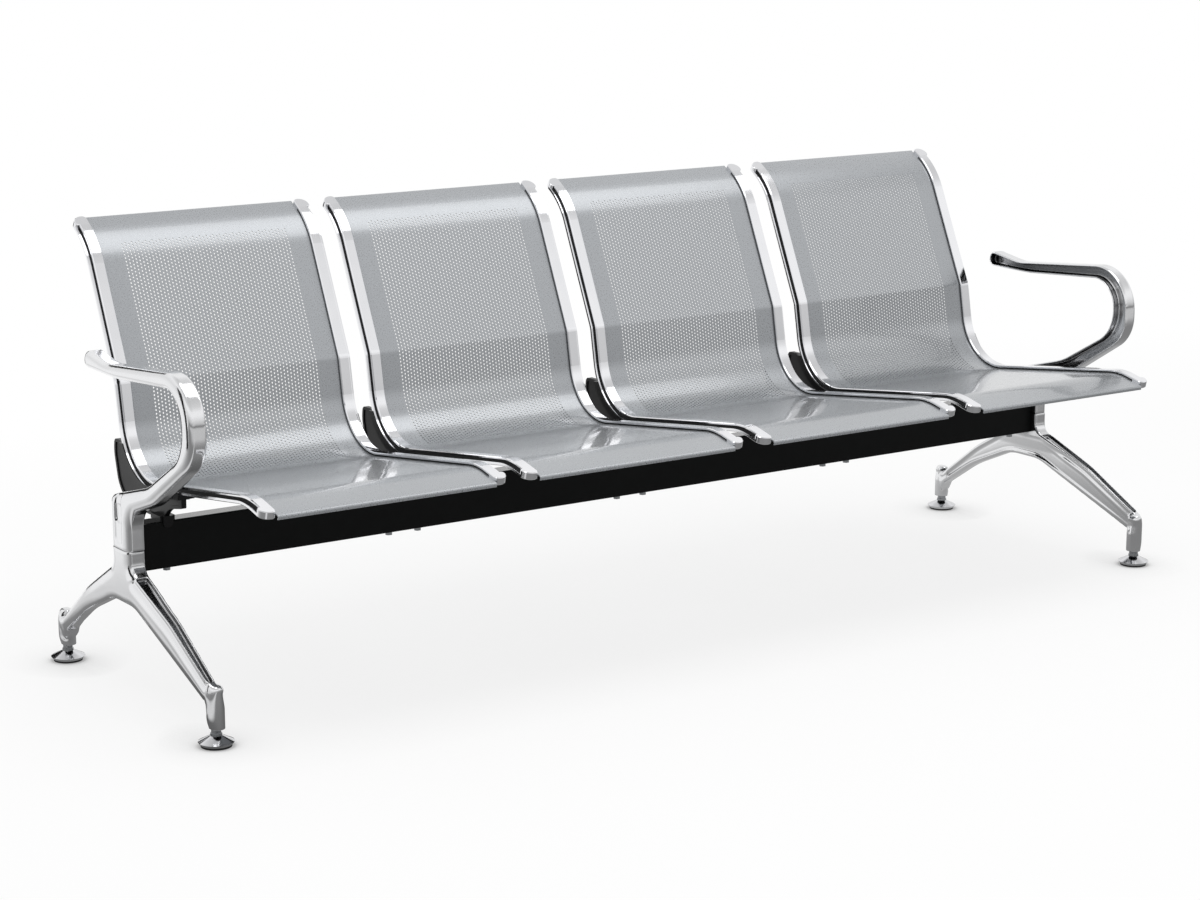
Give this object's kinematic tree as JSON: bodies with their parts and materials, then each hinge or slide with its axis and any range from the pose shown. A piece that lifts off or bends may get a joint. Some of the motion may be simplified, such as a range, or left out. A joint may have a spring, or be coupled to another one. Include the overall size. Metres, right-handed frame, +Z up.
{
  "type": "beam seating",
  "caption": "Waiting-room bench: seats of perforated sheet between polished side strips on one beam, with inverted-Y end legs, C-shaped end armrests and levelling feet.",
  "frame": {"origin": "on the floor, under the middle of the overall box", "axes": "+X along the row to the sitter's left, +Y to the back, +Z up"},
  "size_m": [2.306, 0.7744, 0.8601],
  "materials": {
    "black_paint": "glossy black paint on a steel tube",
    "black_casting": "satin black powder coat on castings",
    "silver_paint": "satin silver-grey powder coat on perforated sheet",
    "chrome": "polished chrome plate on flat steel bar",
    "polished_casting": "mirror-polished and plated aluminium casting",
    "black_rubber": "matte black strip",
    "zinc_steel": "zinc-plated steel",
    "foot_steel": "zinc-plated steel",
    "foot_chrome": "polished chrome plate",
    "foot_black": "matte black moulded pad"
  },
  "bodies": {
    "bench": {"beam": "black_paint", "bracket_bolts": "zinc_steel", "end_bolts": "zinc_steel", "rail_screws": "zinc_steel", "leg_left": "polished_casting", "leg_right": "polished_casting", "armrest_left": "polished_casting", "armrest_right": "polished_casting", "seat_pan_1": "silver_paint", "rail_seals_1": "black_rubber", "seat_rail_left_1": "chrome", "rail_cover_left_1": "chrome", "seat_bracket_left_1": "black_casting", "seat_rail_right_1": "chrome", "rail_cover_right_1": "chrome", "seat_bracket_right_1": "black_casting", "seat_pan_2": "silver_paint", "rail_seals_2": "black_rubber", "seat_rail_left_2": "chrome", "rail_cover_left_2": "chrome", "seat_bracket_left_2": "black_casting", "seat_rail_right_2": "chrome", "rail_cover_right_2": "chrome", "seat_bracket_right_2": "black_casting", "seat_pan_3": "silver_paint", "rail_seals_3": "black_rubber", "seat_rail_left_3": "chrome", "rail_cover_left_3": "chrome", "seat_bracket_left_3": "black_casting", "seat_rail_right_3": "chrome", "rail_cover_right_3": "chrome", "seat_bracket_right_3": "black_casting", "seat_pan_4": "silver_paint", "rail_seals_4": "black_rubber", "seat_rail_left_4": "chrome", "rail_cover_left_4": "chrome", "seat_bracket_left_4": "black_casting", "seat_rail_right_4": "chrome", "rail_cover_right_4": "chrome", "seat_bracket_right_4": "black_casting"},
    "pad_front_left": {"foot_cap_front_left": "foot_chrome", "foot_base_front_left": "foot_black"},
    "stem_front_left": {"foot_stem_front_left": "foot_steel", "foot_collar_front_left": "foot_steel"},
    "pad_front_right": {"foot_cap_front_right": "foot_chrome", "foot_base_front_right": "foot_black"},
    "stem_front_right": {"foot_stem_front_right": "foot_steel", "foot_collar_front_right": "foot_steel"},
    "pad_rear_left": {"foot_cap_rear_left": "foot_chrome", "foot_base_rear_left": "foot_black"},
    "stem_rear_left": {"foot_stem_rear_left": "foot_steel", "foot_collar_rear_left": "foot_steel"},
    "pad_rear_right": {"foot_cap_rear_right": "foot_chrome", "foot_base_rear_right": "foot_black"},
    "stem_rear_right": {"foot_stem_rear_right": "foot_steel", "foot_collar_rear_right": "foot_steel"}
  },
  "joints": [
    {"name": "foot_front_left_height", "type": "slide", "parent": "bench", "child": "pad_front_left", "axis": [0, 0, -1], "range_m": [0, 0.015]},
    {"name": "foot_front_left_turn", "type": "hinge", "parent": "pad_front_left", "child": "stem_front_left", "pos_m": [-1.12, -0.29799, 0.02], "axis": [0, 0, -1], "range_deg": [0, 3601]},
    {"name": "foot_front_right_height", "type": "slide", "parent": "bench", "child": "pad_front_right", "axis": [0, 0, -1], "range_m": [0, 0.015]},
    {"name": "foot_front_right_turn", "type": "hinge", "parent": "pad_front_right", "child": "stem_front_right", "pos_m": [1.12, -0.29799, 0.02], "axis": [0, 0, -1], "range_deg": [0, 3601]},
    {"name": "foot_rear_left_height", "type": "slide", "parent": "bench", "child": "pad_rear_left", "axis": [0, 0, -1], "range_m": [0, 0.015]},
    {"name": "foot_rear_left_turn", "type": "hinge", "parent": "pad_rear_left", "child": "stem_rear_left", "pos_m": [-1.12, 0.34201, 0.02], "axis": [0, 0, -1], "range_deg": [0, 3601]},
    {"name": "foot_rear_right_height", "type": "slide", "parent": "bench", "child": "pad_rear_right", "axis": [0, 0, -1], "range_m": [0, 0.015]},
    {"name": "foot_rear_right_turn", "type": "hinge", "parent": "pad_rear_right", "child": "stem_rear_right", "pos_m": [1.12, 0.34201, 0.02], "axis": [0, 0, -1], "range_deg": [0, 3601]}
  ],
  "couplings": [
    {"joint": "foot_front_left_turn", "follows": "foot_front_left_height", "rad_per_m": 4188.8},
    {"joint": "foot_front_right_turn", "follows": "foot_front_right_height", "rad_per_m": 4188.8},
    {"joint": "foot_rear_left_turn", "follows": "foot_rear_left_height", "rad_per_m": 4188.8},
    {"joint": "foot_rear_right_turn", "follows": "foot_rear_right_height", "rad_per_m": 4188.8}
  ]
}
